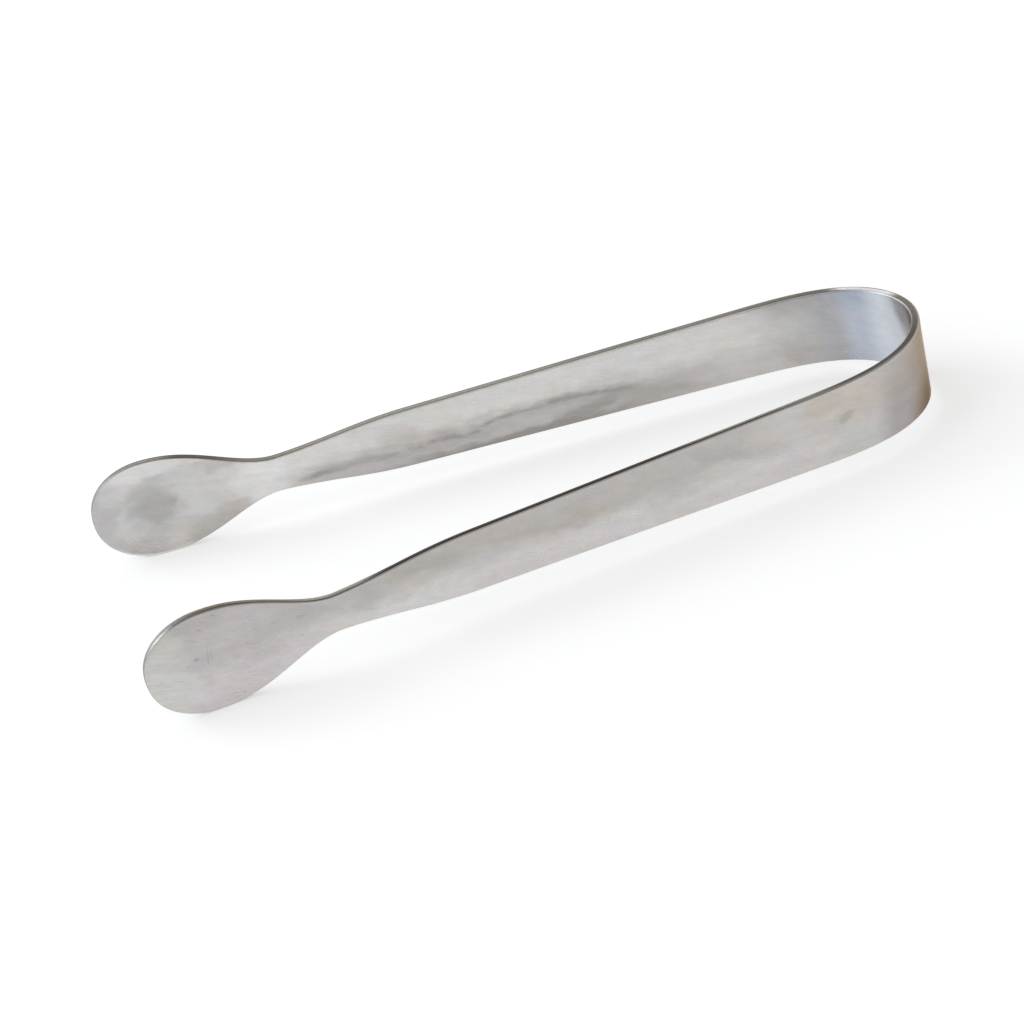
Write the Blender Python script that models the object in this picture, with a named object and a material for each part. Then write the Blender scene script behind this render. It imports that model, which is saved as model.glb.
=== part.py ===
"""Charcoal tongs, bent from one strip of stainless sheet into a spring bow, two arms and two bowls.

+X points to the bow and -X to the bowls, the front arm is at -Y, and +Z is up.
The origin is below the middle of the outline, on the surface that the tongs lie on.
The strip is modelled in the regions that bend, are gripped, narrow and hold. They meet at fine cuts.
"""

import math

import bmesh
import bpy
from mathutils import Vector

# The strip
SHEET = 0.0012
HALF_STRIP = 0.127
EDGE_ROUND = 0.00028
EDGE_SEGMENTS = 2

# The bend, seen from above, along the middle of the sheet
CROWN_RADIUS = 0.0118
CROWN_ARC = 0.0026
SPREAD = math.radians(4.64)

# The widths, and where they fall, measured back from the tip
BOW_WIDTH = 0.0124
ARM_END_WIDTH = 0.0091
ARM_END_FROM_TIP = 0.0427
NECK_WIDTH = 0.0056
NECK_FROM_TIP = 0.0275
NECK_SWEEP = 1.4
BOWL_WIDTH = 0.0156
BOWL_FROM_TIP = 0.0089
BOWL_SHOULDER = 1.2
TIP_FULLNESS = 0.92

# The dish pressed into each bowl
DISH_DEPTH = 0.0015
DISH_END_FROM_TIP = 0.0235

# The cuts between regions
CROWN_HALF = 0.009
CUT_GAP = 0.0003

# How finely the curves are faceted
BEND_STEP = 0.0010
ARM_STEP = 0.0090
NECK_STEP = 0.0020
BOWL_STEP = 0.0018
TIP_SPOKES = 12
BOWL_COLUMNS = 10
LINE_STEP = 0.0001
SHARP_ANGLE = math.radians(35)
MERGE = 0.000001

# Lengths that follow from the ones above
TURN = math.pi / 2 - SPREAD
BEND_EASE = 2 * (CROWN_RADIUS * TURN - CROWN_ARC)
BEND_END = CROWN_ARC + BEND_EASE
ARM_END = HALF_STRIP - ARM_END_FROM_TIP
NECK_END = HALF_STRIP - NECK_FROM_TIP
BOWL_MIDDLE = HALF_STRIP - BOWL_FROM_TIP

SIDES = {"front": -1, "rear": 1}


def smoothstep(share):
    return share * share * (3 - 2 * share)


def turn_at(length):
    """How far the strip has turned, at a length along it from the middle of the bow."""
    if length <= CROWN_ARC:
        return length / CROWN_RADIUS
    share = min((length - CROWN_ARC) / BEND_EASE, 1)
    eased = BEND_EASE * (share - share**3 + share**4 / 2)
    return (CROWN_ARC + eased) / CROWN_RADIUS


def make_centre_line():
    """Points along the middle of the sheet, one for each LINE_STEP, from the bow's middle to a tip."""
    points = [Vector((0, 0))]
    steps = round(HALF_STRIP / LINE_STEP)
    for i in range(steps):
        turn = turn_at((i + 0.5) * HALF_STRIP / steps)
        heading = Vector((-math.sin(turn), math.cos(turn)))
        points.append(points[-1] + heading * HALF_STRIP / steps)
    return points


CENTRE_LINE = make_centre_line()


def centre_at(length):
    place = min(length / HALF_STRIP, 1) * (len(CENTRE_LINE) - 1)
    before = min(int(place), len(CENTRE_LINE) - 2)
    return CENTRE_LINE[before].lerp(CENTRE_LINE[before + 1], place - before)


def outward_at(length):
    turn = turn_at(length)
    return Vector((math.cos(turn), math.sin(turn)))


BOW_FRONT = SHEET / 2
TIP_BACK = (centre_at(HALF_STRIP) - outward_at(HALF_STRIP) * SHEET / 2).x
ORIGIN = Vector(((BOW_FRONT + TIP_BACK) / 2, 0, -BOWL_WIDTH / 2))


def half_width(length):
    """Half the strip's width: a long taper, a swept neck, then the bowl's shoulder and round tip."""
    if length <= ARM_END:
        return (BOW_WIDTH + (ARM_END_WIDTH - BOW_WIDTH) * length / ARM_END) / 2
    if length <= NECK_END:
        share = (NECK_END - length) / (NECK_END - ARM_END)
        return (NECK_WIDTH + (ARM_END_WIDTH - NECK_WIDTH) * share**NECK_SWEEP) / 2
    if length <= BOWL_MIDDLE:
        share = ((BOWL_MIDDLE - length) / (BOWL_MIDDLE - NECK_END)) ** BOWL_SHOULDER
        return (BOWL_WIDTH - (BOWL_WIDTH - NECK_WIDTH) * smoothstep(share)) / 2
    share = min((length - BOWL_MIDDLE) / BOWL_FROM_TIP, 1)
    return BOWL_WIDTH / 2 * (1 - share * share) ** (TIP_FULLNESS / 2)


def dish(length, height):
    """How far the bowl bulges outwards at a point. The rim stays in the plane of the arm."""
    from_tip = HALF_STRIP - length
    if from_tip >= DISH_END_FROM_TIP:
        return 0
    across = min(abs(height) / max(half_width(length), MERGE), 1)
    if from_tip > BOWL_FROM_TIP:
        share = (from_tip - BOWL_FROM_TIP) / (DISH_END_FROM_TIP - BOWL_FROM_TIP)
        along = 1 - smoothstep(share)
    else:
        along = 1 - (1 - from_tip / BOWL_FROM_TIP) ** 2
    return DISH_DEPTH * (1 - across * across) * along


def sheet_point(length, height, face):
    """A point on the inner (face -1) or outer (face 1) side. A negative length is on the front arm."""
    side = math.copysign(1, length)
    length = abs(length)
    bulge = face * SHEET / 2 + dish(length, height)
    plan = centre_at(length) + outward_at(length) * bulge
    return Vector((plan.x, side * plan.y, height)) - ORIGIN


def across(columns):
    """Places across the strip, from -1 at the lower rim to 1 at the upper one."""
    return [2 * j / columns - 1 for j in range(columns + 1)]


def lines_across(start, end, step, side, columns=1):
    """Lines of (length, height) points straight across the strip, from start to end."""
    count = max(round(abs(end - start) / step), 2)
    lines = []
    for i in range(count + 1):
        length = start + (end - start) * i / count
        rim = half_width(abs(length))
        lines.append([(side * length, rim * place) for place in across(columns)])
    return lines


def lines_round_tip(side, columns):
    """Pairs of spokes from the middle of the bowl's widest line, turning from its rims to the tip."""
    lines = []
    for i in range(1, TIP_SPOKES + 1):
        angle = math.pi / 2 * i / TIP_SPOKES
        along = BOWL_FROM_TIP * math.sin(angle)
        rim = BOWL_WIDTH / 2 * max(math.cos(angle), 0) ** TIP_FULLNESS
        line = [(side * (BOWL_MIDDLE + abs(place) * along), rim * place) for place in across(columns)]
        lines.append(line)
    return lines


def add_face_grid(bm, lines, face, cut_ends):
    """One broad side of the sheet. The cut layer marks the points on the region's end cuts."""
    cut = bm.verts.layers.int["cut"]
    rows = []
    for i, line in enumerate(lines):
        row = [bm.verts.new(sheet_point(length, height, face)) for length, height in line]
        for vert in row:
            vert[cut] = cut_ends.get(i, 0)
        rows.append(row)
    for near, far in zip(rows, rows[1:]):
        for j in range(len(near) - 1):
            bm.faces.new((near[j], near[j + 1], far[j + 1], far[j]))


def make_steel(name, colour, roughness):
    material = bpy.data.materials.new(name)
    material.use_nodes = True
    shader = material.node_tree.nodes["Principled BSDF"]
    shader.inputs["Base Color"].default_value = (*colour, 1)
    shader.inputs["Metallic"].default_value = 1
    shader.inputs["Roughness"].default_value = roughness
    material.diffuse_color = (*colour, 1)
    return material


def make_region(name, lines, material, hinge=None, round_tip=False):
    """A closed piece of the strip. Its long edges are rounded, and its end cuts are left square."""
    bm = bmesh.new()
    cut = bm.verts.layers.int.new("cut")
    cut_ends = {0: 1}
    if not round_tip:
        cut_ends[len(lines) - 1] = 2
    for face in (-1, 1):
        add_face_grid(bm, lines, face, cut_ends)
    bmesh.ops.remove_doubles(bm, verts=bm.verts, dist=MERGE)
    rim = [edge for edge in bm.edges if edge.is_boundary]
    bmesh.ops.bridge_loops(bm, edges=rim)
    bmesh.ops.recalc_face_normals(bm, faces=bm.faces)
    long_edges = []
    for edge in rim:
        first, second = edge.verts
        on_a_cut = first[cut] and first[cut] == second[cut]
        if not on_a_cut:
            long_edges.append(edge)
    bmesh.ops.bevel(
        bm,
        geom=long_edges,
        offset=EDGE_ROUND,
        segments=EDGE_SEGMENTS,
        profile=0.5,
        affect="EDGES",
    )
    pivot = hinge_place(hinge) if hinge else Vector((0, 0, 0))
    bmesh.ops.translate(bm, verts=bm.verts, vec=-pivot)
    mesh = bpy.data.meshes.new(name)
    bm.to_mesh(mesh)
    bm.free()
    mesh.shade_smooth()
    mesh.set_sharp_from_angle(angle=SHARP_ANGLE)
    mesh.materials.append(material)
    region = bpy.data.objects.new(name, mesh)
    bpy.context.scene.collection.objects.link(region)
    region.parent = hinge
    return region


def make_hinge(name, length, side, parent=None):
    """An empty on a flex line, upright at the middle of the sheet."""
    plan = centre_at(length)
    place = Vector((plan.x, side * plan.y, 0)) - ORIGIN
    hinge = bpy.data.objects.new(name, None)
    bpy.context.scene.collection.objects.link(hinge)
    hinge.empty_display_type = "SINGLE_ARROW"
    hinge.empty_display_size = BOW_WIDTH
    hinge.parent = parent
    hinge.location = place - (hinge_place(parent) if parent else Vector((0, 0, 0)))
    return hinge


def hinge_place(hinge):
    """The hinge's place in the world, from its own location and its parents'."""
    place = Vector((0, 0, 0))
    while hinge:
        place += hinge.location
        hinge = hinge.parent
    return place


def make_crown(steel):
    half = CROWN_HALF - CUT_GAP / 2
    lines = lines_across(-half, half, BEND_STEP, 1)
    make_region("bow_crown", lines, steel)


def make_shoulder(end, side, steel, hinge):
    lines = lines_across(CROWN_HALF + CUT_GAP / 2, BEND_END - CUT_GAP / 2, BEND_STEP, side)
    make_region("bow_shoulder_" + end, lines, steel, hinge)


def make_arm(end, side, steel, hinge):
    lines = lines_across(BEND_END + CUT_GAP / 2, ARM_END - CUT_GAP / 2, ARM_STEP, side)
    make_region("arm_" + end, lines, steel, hinge)


def make_neck(end, side, steel, hinge):
    lines = lines_across(ARM_END + CUT_GAP / 2, NECK_END - CUT_GAP / 2, NECK_STEP, side)
    make_region("neck_" + end, lines, steel, hinge)


def make_bowl(end, side, steel, hinge):
    lines = lines_across(NECK_END + CUT_GAP / 2, BOWL_MIDDLE, BOWL_STEP, side, BOWL_COLUMNS)
    lines += lines_round_tip(side, BOWL_COLUMNS)
    make_region("bowl_" + end, lines, steel, hinge, round_tip=True)


def main():
    for old in list(bpy.data.objects):
        bpy.data.objects.remove(old, do_unlink=True)
    make_crown(make_steel("crown_steel", (0.52, 0.53, 0.56), 0.30))
    for end, side in SIDES.items():
        crown_flex = make_hinge(end + "_crown_flex", CROWN_HALF, side)
        arm_flex = make_hinge(end + "_arm_flex", BEND_END, side, crown_flex)
        shoulder_steel = make_steel("shoulder_steel_" + end, (0.53, 0.53, 0.54), 0.32)
        arm_steel = make_steel("arm_steel_" + end, (0.54, 0.53, 0.52), 0.36)
        neck_steel = make_steel("neck_steel_" + end, (0.55, 0.54, 0.53), 0.36)
        bowl_steel = make_steel("bowl_steel_" + end, (0.53, 0.53, 0.52), 0.40)
        make_shoulder(end, side, shoulder_steel, crown_flex)
        make_arm(end, side, arm_steel, arm_flex)
        make_neck(end, side, neck_steel, arm_flex)
        make_bowl(end, side, bowl_steel, arm_flex)


main()
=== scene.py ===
# %% [markdown]
# # Charcoal tongs from one strip of steel
# The tongs are a single strip of stainless sheet. A press cuts its outline, dishes its two ends into bowls,
# and bends it round a former into a spring bow. This lesson makes it in that order: a flat blank first,
# then its thickness and edges, then the dishes, and the bend last of all.
#
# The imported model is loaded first. It is the frame that everything here has to fit.

# %% Load the frame
import math

import bmesh
import bpy
from mathutils import Matrix, Vector


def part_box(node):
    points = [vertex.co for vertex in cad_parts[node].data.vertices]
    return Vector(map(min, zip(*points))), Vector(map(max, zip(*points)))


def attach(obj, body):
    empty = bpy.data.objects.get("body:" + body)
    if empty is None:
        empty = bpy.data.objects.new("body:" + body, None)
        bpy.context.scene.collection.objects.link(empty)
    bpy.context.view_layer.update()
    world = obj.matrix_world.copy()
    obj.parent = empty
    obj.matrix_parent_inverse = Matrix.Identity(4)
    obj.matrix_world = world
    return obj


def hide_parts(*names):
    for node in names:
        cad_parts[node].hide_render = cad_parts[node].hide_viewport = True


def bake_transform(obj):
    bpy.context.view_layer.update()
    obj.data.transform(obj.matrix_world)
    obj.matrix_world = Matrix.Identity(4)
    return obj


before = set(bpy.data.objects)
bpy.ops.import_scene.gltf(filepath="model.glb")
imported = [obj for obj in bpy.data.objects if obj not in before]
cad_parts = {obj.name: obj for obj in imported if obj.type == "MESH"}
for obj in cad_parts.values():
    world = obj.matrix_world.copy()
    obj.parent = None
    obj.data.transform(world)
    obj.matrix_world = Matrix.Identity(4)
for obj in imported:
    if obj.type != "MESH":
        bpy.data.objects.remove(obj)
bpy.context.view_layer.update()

# %% [markdown]
# ## Sizes
# Sizes that the frame shows are read from it. The rest are the strip's own drawing: its sheet, its widths
# and where they fall, its bend and its dish. Places along the strip are lengths in metres from the middle of
# the bow, because that is how the blank is drawn before it is bent.
#
# The bow is round for a short arc on both sides of its middle, and then it eases out into the straight arms,
# which spread a little. TURN is the angle that each half of the strip turns through in all.

# %% Sizes of the strip
MM = 0.001
SHEET = 1.2 * MM
HALF_STRIP = 127 * MM
BOW_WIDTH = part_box("bow_crown")[1].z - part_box("bow_crown")[0].z
BOWL_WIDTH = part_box("bowl_front")[1].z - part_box("bowl_front")[0].z
MID_HEIGHT = BOWL_WIDTH / 2
BOW_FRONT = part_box("bow_crown")[1].x

CROWN_RADIUS = 11.8 * MM
CROWN_ARC = 2.6 * MM
SPREAD = math.radians(4.64)
TURN = math.pi / 2 - SPREAD
BEND_EASE = 2 * (CROWN_RADIUS * TURN - CROWN_ARC)
BEND_END = CROWN_ARC + BEND_EASE

ARM_END = HALF_STRIP - 42.7 * MM
ARM_END_WIDTH = 9.1 * MM
ARM_END_EASE = 5 * MM
NECK_END = HALF_STRIP - 27.5 * MM
NECK_WIDTH = 5.6 * MM
NECK_SWEEP = 1.4
BOWL_LENGTH = 8.9 * MM
BOWL_MIDDLE = HALF_STRIP - BOWL_LENGTH
BOWL_SHOULDER = 1.2
TIP_FULLNESS = 0.92

DISH_DEPTH = 1.5 * MM
DISH_END = HALF_STRIP - 23.5 * MM

print("bow width", round(BOW_WIDTH / MM, 2), "mm, bowl width", round(BOWL_WIDTH / MM, 2), "mm")
print("the bend ends", round(BEND_END / MM, 2), "mm from the middle of the bow")

# %% [markdown]
# ## The outline as a rule
# Half of the strip's width is a rule of the place along it. It is a long taper, a swept neck, the bowl's
# shoulder, and then the round tip, which is a little fuller than an ellipse. The corner between the taper and
# the neck is worn round, so a little is taken off close to it, and most in the corner itself. A curve drawn
# by hand could look the same, but in a rule each size has a name and can be changed alone.

# %% Half of the strip's width
def smoothstep(share):
    return share * share * (3 - 2 * share)


def worn_off_corner(length):
    """What rounding the corner at the arm's end takes off the half width."""
    neck_slope = NECK_SWEEP * (ARM_END_WIDTH - NECK_WIDTH) / (NECK_END - ARM_END) / 2
    arm_slope = (BOW_WIDTH - ARM_END_WIDTH) / ARM_END / 2
    away = max(ARM_END_EASE - abs(length - ARM_END), 0)
    return (neck_slope - arm_slope) * away * away / (4 * ARM_END_EASE)


def half_width(length):
    if length <= ARM_END:
        return (BOW_WIDTH + (ARM_END_WIDTH - BOW_WIDTH) * length / ARM_END) / 2 - worn_off_corner(length)
    if length <= NECK_END:
        share = (NECK_END - length) / (NECK_END - ARM_END)
        width = NECK_WIDTH + (ARM_END_WIDTH - NECK_WIDTH) * share**NECK_SWEEP
        return width / 2 - worn_off_corner(length)
    if length <= BOWL_MIDDLE:
        share = ((BOWL_MIDDLE - length) / (BOWL_MIDDLE - NECK_END)) ** BOWL_SHOULDER
        return (BOWL_WIDTH - (BOWL_WIDTH - NECK_WIDTH) * smoothstep(share)) / 2
    share = min((length - BOWL_MIDDLE) / BOWL_LENGTH, 1)
    return BOWL_WIDTH / 2 * (1 - share * share) ** (TIP_FULLNESS / 2)


for place, length in {"bow": 0, "arm's end": ARM_END, "neck": NECK_END, "bowl": BOWL_MIDDLE}.items():
    print("width at the", place, round(2 * half_width(length) / MM, 2), "mm")

# %% [markdown]
# ## The camera
# The photograph was taken from a little above the table, slightly round towards the bowls, with the camera
# tilted in the hand. The camera here has the same direction, distance, tilt and angle of view.
# It goes first, so that every later step can be judged through it.

# %% The camera
AZIMUTH = math.radians(-8.05)
ELEVATION = math.radians(31.85)
ROLL = math.radians(-13.75)
CAMERA_DISTANCE = 469 * MM
AIM = Vector((-4.68, -10.05, 7.9)) * MM
SENSOR = 36
LENS = 118.86
NEAREST_SEEN = 10 * MM


def make_camera():
    """A camera that looks at AIM. Its own Z points back from the picture, and ROLL turns it about that."""
    back = Vector((
        math.sin(AZIMUTH) * math.cos(ELEVATION),
        -math.cos(AZIMUTH) * math.cos(ELEVATION),
        math.sin(ELEVATION),
    ))
    lens = bpy.data.cameras.new("camera")
    lens.sensor_width = SENSOR
    lens.lens = LENS
    lens.clip_start = NEAREST_SEEN
    camera = bpy.data.objects.new("camera", lens)
    bpy.context.scene.collection.objects.link(camera)
    level = Matrix.Rotation(AZIMUTH, 4, "Z") @ Matrix.Rotation(math.pi / 2 - ELEVATION, 4, "X")
    tilted = level @ Matrix.Rotation(ROLL, 4, "Z")
    camera.matrix_world = Matrix.Translation(AIM + back * CAMERA_DISTANCE) @ tilted
    bpy.context.scene.camera = camera
    return camera


camera = make_camera()
print("camera at", [round(x / MM) for x in camera.matrix_world.translation], "mm")

# %% [markdown]
# ## Ways of working in edit mode
# The shapes are made as by hand, in edit mode, so two helpers do what a hand does: open a piece with nothing
# selected, and select the points that lie where a rule says.

# %% Helpers for edit mode
TINY = 0.001 * MM


def select_only(piece):
    bpy.ops.object.select_all(action="DESELECT")
    piece.select_set(True)
    bpy.context.view_layer.objects.active = piece


def open_piece(piece):
    select_only(piece)
    bpy.ops.object.mode_set(mode="EDIT")
    bpy.ops.mesh.select_mode(type="VERT")
    bpy.ops.mesh.select_all(action="DESELECT")


def close_piece():
    bpy.ops.object.mode_set(mode="OBJECT")


def pick(piece, rule):
    """Selects the points that pass the rule, with the edges and faces between them."""
    mesh = bmesh.from_edit_mesh(piece.data)
    for vert in mesh.verts:
        vert.select = rule(vert.co)
    mesh.select_flush_mode()
    bmesh.update_edit_mesh(piece.data)


def finish_with(piece, kind, **settings):
    """Adds a modifier, sets it up and applies it."""
    select_only(piece)
    modifier = piece.modifiers.new(kind.lower(), kind)
    for name, value in settings.items():
        setattr(modifier, name, value)
    bpy.ops.object.modifier_apply(modifier=modifier.name)


def face_outwards(piece):
    open_piece(piece)
    bpy.ops.mesh.select_all(action="SELECT")
    bpy.ops.mesh.normals_make_consistent(inside=False)
    close_piece()


def size_in_mm(piece):
    return [round(side / MM, 2) for side in piece.dimensions]


print("helpers for edit mode are ready")

# %% [markdown]
# ## Half of the flat blank
# The blank stands on edge, as the tongs do: X runs along the strip, Z across it and Y through the sheet.
# One small plane at the middle of the bow is cut into ten rows, one above another. Its far side is then drawn
# out again and again, and after each step it is scaled to the strip's width there. A grid scaled afterwards
# would have done as well, but this way each line falls just where the outline changes. The lines are closest
# in the bow, which will be bent, and widest apart on the straight arm.

# %% Lines across the blank
BOW_STEP = 0.5 * MM
ARM_STEP = 2.0 * MM
NECK_STEP = 0.8 * MM


def places_between(start, end, step):
    """Places along the strip after start, up to end, in even steps."""
    count = max(round((end - start) / step), 1)
    return [start + (end - start) * i / count for i in range(1, count + 1)]


lines = [BOW_STEP]
lines += places_between(BOW_STEP, BEND_END, BOW_STEP)
lines += places_between(BEND_END, ARM_END - ARM_END_EASE, ARM_STEP)
lines += places_between(ARM_END - ARM_END_EASE, NECK_END, NECK_STEP)
lines += places_between(NECK_END, BOWL_MIDDLE, NECK_STEP)
print(len(lines), "lines across half of the strip")

# %% The first plane, drawn out to the middle of the bowl
ROWS_ACROSS = 10


def make_half_blank(lines):
    first = lines[0]
    bpy.ops.object.select_all(action="DESELECT")
    bpy.ops.mesh.primitive_plane_add(size=BOW_WIDTH, rotation=(math.pi / 2, 0, 0))
    blank = bpy.context.object
    blank.name = "blank"
    bpy.ops.object.transform_apply(location=True, rotation=True, scale=True)

    open_piece(blank)
    bpy.ops.mesh.select_all(action="SELECT")
    bpy.ops.transform.resize(value=(first / BOW_WIDTH, 1, 1))
    bpy.ops.transform.translate(value=(first / 2, 0, 0))
    bpy.ops.mesh.select_mode(type="EDGE")
    mesh = bmesh.from_edit_mesh(blank.data)
    for edge in mesh.edges:
        edge.select_set(abs(edge.verts[0].co.z - edge.verts[1].co.z) > TINY)
    bmesh.update_edit_mesh(blank.data)
    bpy.ops.mesh.subdivide(number_cuts=ROWS_ACROSS - 1)
    bpy.ops.mesh.select_mode(type="VERT")
    pick(blank, lambda place: place.x > first / 2)
    for near, far in zip(lines, lines[1:]):
        bpy.ops.mesh.extrude_region_move(TRANSFORM_OT_translate={"value": (far - near, 0, 0)})
        wider = half_width(far) / half_width(near)
        bpy.ops.transform.resize(value=(1, 1, wider), center_override=(far, 0, 0))
    close_piece()
    return blank


blank = make_half_blank(lines)
print("half blank:", len(blank.data.polygons), "faces,", size_in_mm(blank), "mm")

# %% [markdown]
# ## The round tip
# The upper half of the last line is spun half a turn about its foot, like the hand of a clock. It sweeps out
# a half disc and lands on the lower half of the line, where the doubles are merged. The half disc is then
# stretched to the bowl's length, and each spoke is drawn out a little to make the tip fuller than an ellipse.
# A spoke is found by its angle in the round disc, before the stretch. More lines across would have closed the
# tip too, but the last ones would be crowded slivers, which shade badly in a polished dish.

# %% Spin and stretch the tip
SPOKES = 40
SPOKE_STEP = math.pi / SPOKES
SAME_SPOKE = SPOKE_STEP / 20


def spoke_angle(place):
    return math.atan2((place.x - BOWL_MIDDLE) / BOWL_LENGTH, abs(place.z) / (BOWL_WIDTH / 2))


def round_the_tip(blank):
    open_piece(blank)
    pick(blank, lambda place: place.x > BOWL_MIDDLE - TINY and place.z > -TINY)
    bpy.ops.mesh.spin(steps=SPOKES, angle=-math.pi, center=(BOWL_MIDDLE, 0, 0), axis=(0, 1, 0))
    bpy.ops.mesh.select_all(action="SELECT")
    bpy.ops.mesh.remove_doubles(threshold=TINY)
    pick(blank, lambda place: place.x > BOWL_MIDDLE + TINY)
    bpy.ops.transform.resize(value=(2 * BOWL_LENGTH / BOWL_WIDTH, 1, 1), center_override=(BOWL_MIDDLE, 0, 0))
    for spoke in range(1, SPOKES // 2):
        angle = spoke * SPOKE_STEP

        def on_spoke(place):
            return place.x > BOWL_MIDDLE + TINY and abs(spoke_angle(place) - angle) < SAME_SPOKE

        pick(blank, on_spoke)
        fuller = math.cos(angle) ** (TIP_FULLNESS - 1)
        bpy.ops.transform.resize(value=(1, 1, fuller), center_override=(BOWL_MIDDLE, 0, 0))
    close_piece()


round_the_tip(blank)
print("with its tip:", size_in_mm(blank), "mm")

# %% [markdown]
# ## The whole blank, and its rim
# A mirror doubles the half into the whole strip. Then the outline is inset by less than half a millimetre.
# The narrow border that this makes holds the shading flat right up to the rim, once the rim is rounded.
# Drawing both halves at once would save the mirror, but then the two arms might come out different.

# %% Mirror and inset
BORDER = 0.42 * MM

finish_with(blank, "MIRROR", use_axis=(True, False, False), use_clip=True, merge_threshold=TINY)
open_piece(blank)
bpy.ops.mesh.select_all(action="SELECT")
bpy.ops.mesh.remove_doubles(threshold=TINY)
bpy.ops.mesh.normals_make_consistent(inside=False)
bpy.ops.mesh.inset(thickness=BORDER, use_boundary=True, use_even_offset=True)
close_piece()
print("whole blank:", size_in_mm(blank), "mm")

# %% [markdown]
# ## Thickness and rounded edges
# Solidify gives the sheet its thickness, the same to both sides. A bevel then rounds the cut edges as
# tumbling does. The bevel goes only where two faces meet at a right angle, which is all along the rim. It has
# five steps, because the rounded corner is where the steel catches the light.

# %% Solidify and bevel
EDGE_ROUND = 0.28 * MM
EDGE_STEPS = 5
SHARP = math.radians(50)

finish_with(blank, "SOLIDIFY", thickness=SHEET, offset=0, use_even_offset=True)
face_outwards(blank)
finish_with(blank, "BEVEL", width=EDGE_ROUND, segments=EDGE_STEPS, limit_method="ANGLE", angle_limit=SHARP)
print("thick blank:", len(blank.data.polygons), "faces,", size_in_mm(blank), "mm")

# %% [markdown]
# ## Coordinates for the finish
# Brushing and wear follow the strip, so the pattern's coordinates are taken now, while it is flat: along the
# strip and across it in millimetres as a UV map, and through the sheet as an attribute that is -1 on the
# inner face, 1 on the outer face and in between on the cut edge. They stay with the faces when it is bent,
# where Object coordinates would run straight through the bow instead of round it.

# %% Keep the flat coordinates
STRIP_MAP = "strip_mm"
THROUGH = "through_sheet"


def keep_flat_coordinates(blank):
    mesh = blank.data
    flat = mesh.uv_layers.new(name=STRIP_MAP)
    for loop in mesh.loops:
        place = mesh.vertices[loop.vertex_index].co
        flat.data[loop.index].uv = (place.x / MM, place.z / MM)
    through = mesh.attributes.new(THROUGH, "FLOAT", "POINT")
    for vert in mesh.vertices:
        through.data[vert.index].value = -vert.co.y / (SHEET / 2)


keep_flat_coordinates(blank)
print("kept:", STRIP_MAP, "and", THROUGH)

# %% [markdown]
# ## The pressed dishes
# The punch pushes the middle of each bowl outwards and leaves its rim where it was. A vertex group holds how
# far each point is pushed, as a share of the full depth, and a Displace modifier does the pushing.
# Sculpting would look alike, but would leave the two bowls different.

# %% Press the dishes
def pressed_share(length, height):
    """1 in the deepest place of a bowl, 0 at its rim and on the arm."""
    if length <= DISH_END:
        return 0
    across = min(abs(height) / max(half_width(length), TINY), 1)
    from_tip = HALF_STRIP - length
    if length < BOWL_MIDDLE:
        along = 1 - smoothstep((from_tip - BOWL_LENGTH) / (HALF_STRIP - DISH_END - BOWL_LENGTH))
    else:
        along = 1 - (1 - max(from_tip, 0) / BOWL_LENGTH) ** 2
    return (1 - across * across) * along


def press_dishes(blank):
    group = blank.vertex_groups.new(name="dish")
    for vert in blank.data.vertices:
        share = pressed_share(abs(vert.co.x), vert.co.z)
        if share > 0:
            group.add([vert.index], share, "REPLACE")
    finish_with(blank, "DISPLACE", direction="Y", mid_level=0, strength=-DISH_DEPTH, vertex_group="dish")


press_dishes(blank)
print("pressed:", size_in_mm(blank), "mm")

# %% [markdown]
# ## The line of the bend
# Seen from above, the strip turns fastest in the crown of the bow and eases out into the straight arms.
# The turn at each place is worked out by a rule, and adding up short steps in its direction gives the line.
# The line is drawn as a curve from the front tip, round the bow, to the rear tip. A few handles of a Bezier
# curve would be quicker, but the sheet would come out longer or shorter than its drawing.

# %% Draw the line of the bend
LINE_STEP = 0.1 * MM


def turn_at(length):
    """How far the strip has turned at a length from the middle of the bow. Past the crown the bend falls off
    as 1 - smoothstep does, and the polynomial adds that up."""
    if length <= CROWN_ARC:
        return length / CROWN_RADIUS
    share = min((length - CROWN_ARC) / BEND_EASE, 1)
    return (CROWN_ARC + BEND_EASE * (share - share**3 + share**4 / 2)) / CROWN_RADIUS


def rear_half_of_line():
    places = [Vector((BOW_FRONT - SHEET / 2, 0))]
    for i in range(round(HALF_STRIP / LINE_STEP)):
        turn = turn_at((i + 0.5) * LINE_STEP)
        places.append(places[-1] + Vector((-math.sin(turn), math.cos(turn))) * LINE_STEP)
    return places


def make_bend_line(rear_half):
    front_half = [Vector((place.x, -place.y)) for place in reversed(rear_half)]
    places = front_half + rear_half[1:]
    curve = bpy.data.curves.new("bend_line", "CURVE")
    curve.dimensions = "2D"
    spline = curve.splines.new("POLY")
    spline.points.add(len(places) - 1)
    for point, place in zip(spline.points, places):
        point.co = (place.x, place.y, 0, 1)
    line = bpy.data.objects.new("bend_line", curve)
    line.location.z = MID_HEIGHT
    bpy.context.scene.collection.objects.link(line)
    return line


rear_half = rear_half_of_line()
bend_line = make_bend_line(rear_half)
print("the line has", len(bend_line.data.splines[0].points), "points")

# %% [markdown]
# ## Cut to lengths, then bend
# A piece can bend between two bodies of the frame, so the strip is cut where it passes from one such pair to
# the next: in the middle of the bow, in its two shoulders, and at the necks. Each cut is made with bisect on
# the flat strip, and its open end is filled. Two more lines go close beside each cut, so that the shading on
# both sides of it agrees and the cut can't be seen. Bending comes last: each length follows the line.

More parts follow.
